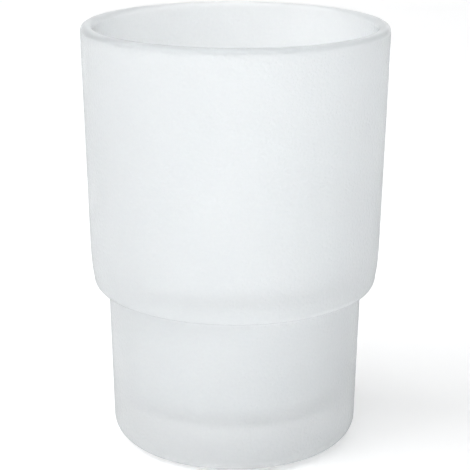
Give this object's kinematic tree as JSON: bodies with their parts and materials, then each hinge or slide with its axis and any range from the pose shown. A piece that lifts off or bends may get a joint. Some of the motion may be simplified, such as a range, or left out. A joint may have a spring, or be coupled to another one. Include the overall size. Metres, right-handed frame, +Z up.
{
  "type": "bathroom tumbler",
  "caption": "Frosted glass tumbler whose rounded shoulder steps in to a narrower foot, which drops into the ring of a wall holder.",
  "frame": {"origin": "centre of the standing plane, on the axis", "axes": "+Z up the axis from the base to the rim; +X and +Y lie in the standing plane and are interchangeable"},
  "size_m": [0.0698, 0.0698, 0.098],
  "materials": {
    "frosted_glass": "clear pressed glass, acid-etched all over to an even satin frost"
  },
  "bodies": {
    "root": {"tumbler": "frosted_glass"}
  },
  "joints": []
}
